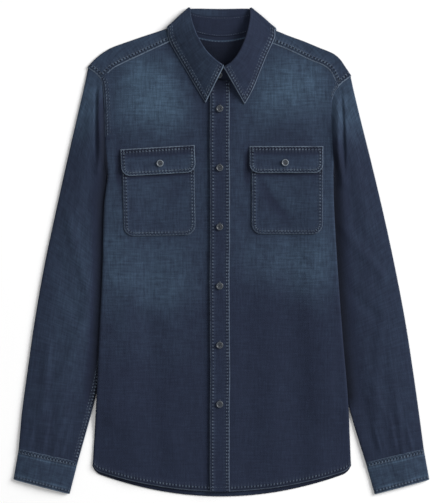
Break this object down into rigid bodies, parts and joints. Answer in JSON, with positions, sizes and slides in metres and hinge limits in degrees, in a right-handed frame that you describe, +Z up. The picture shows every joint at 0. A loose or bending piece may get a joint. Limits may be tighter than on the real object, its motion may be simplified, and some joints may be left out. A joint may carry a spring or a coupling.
{
  "type": "denim shirt",
  "caption": "Long-sleeved denim shirt laid flat face up, buttoned, with a pointed collar, flapped chest pockets, a front placket, shoulder yoke, buttoned cuffs and a curved hem.",
  "frame": {"origin": "centre of the laid shirt's plan, on the surface it lies on", "axes": "+Z up, out of the shirt's front; +Y from the hem to the collar; +X to the wearer's left"},
  "size_m": [0.6868, 0.807, 0.0227],
  "materials": {
    "denim": "dark indigo twill, washed, worn pale along seam edges",
    "denim_faded": "indigo twill faded blue over the chest and upper sleeves",
    "button_resin": "dark grey resin, four holes"
  },
  "bodies": {
    "root": {"back": "denim", "yoke": "denim", "front_right": "denim_faded", "sleeve_right": "denim_faded", "cuff_right": "denim", "pocket_right": "denim_faded", "pocket_flap_right": "denim", "flap_button_right": "button_resin", "cuff_button_right": "button_resin", "front_left": "denim_faded", "sleeve_left": "denim_faded", "cuff_left": "denim", "pocket_left": "denim_faded", "pocket_flap_left": "denim", "flap_button_left": "button_resin", "cuff_button_left": "button_resin", "placket": "denim", "collar_stand": "denim", "collar_leaf": "denim", "front_button_1": "button_resin", "front_button_2": "button_resin", "front_button_3": "button_resin", "front_button_4": "button_resin", "front_button_5": "button_resin", "front_button_6": "button_resin", "collar_button": "button_resin"}
  },
  "joints": []
}
